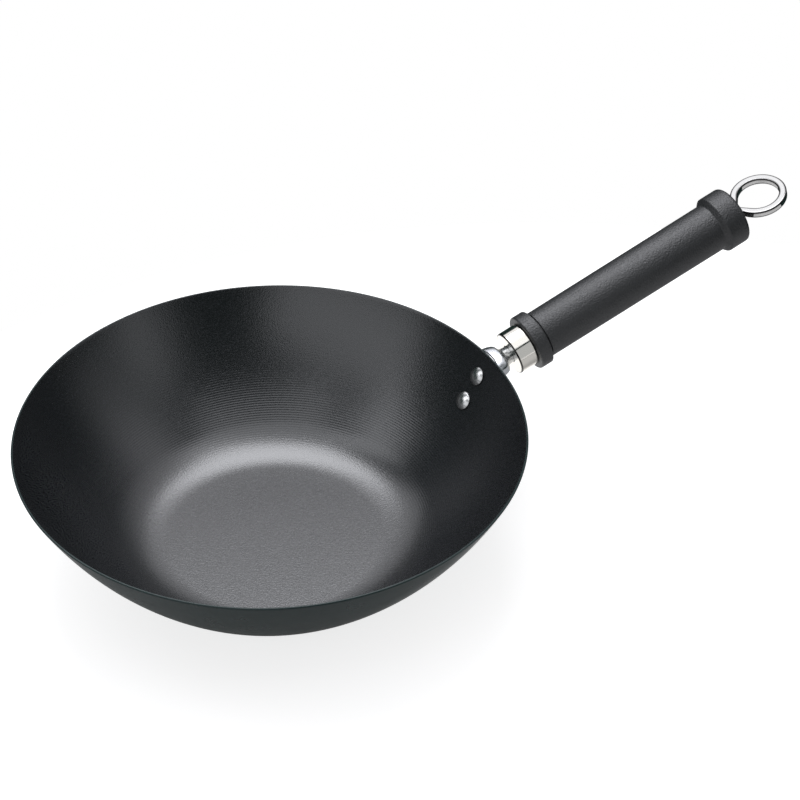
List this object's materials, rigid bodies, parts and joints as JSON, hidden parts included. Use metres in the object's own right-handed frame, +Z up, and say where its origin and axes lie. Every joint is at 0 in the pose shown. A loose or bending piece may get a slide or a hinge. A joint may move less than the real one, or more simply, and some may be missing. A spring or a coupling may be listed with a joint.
{
  "type": "wok",
  "caption": "Flat-based steel wok with a dark non-stick coat, a riveted bracket, a round black grip behind a metal ferrule and a chromed hanging eye, for stir-frying on a hob.",
  "frame": {"origin": "centre of the base's underside, on the surface that the wok stands on", "axes": "+X from the bowl's axis along the handle, seen from above, +Z up along the bowl's axis"},
  "size_m": [0.4556, 0.265, 0.1238],
  "materials": {
    "coated_bowl": "pressed steel sheet with a speckled satin non-stick coat",
    "plated_bracket": "formed steel sheet, bright nickel plate",
    "rivet_metal": "cold-headed rivet, satin",
    "ferrule_nickel": "drawn steel cup, warm nickel plate",
    "grip_phenolic": "moulded phenolic with a fine matte texture",
    "eye_chrome": "bright chrome plate",
    "nut_zinc": "zinc-plated steel"
  },
  "bodies": {
    "root": {"bowl": "coated_bowl", "handle_bracket": "plated_bracket", "rivet_upper": "rivet_metal", "rivet_lower": "rivet_metal", "ferrule": "ferrule_nickel", "grip": "grip_phenolic", "eye_bolt": "eye_chrome", "neck_nut": "nut_zinc"}
  },
  "joints": []
}
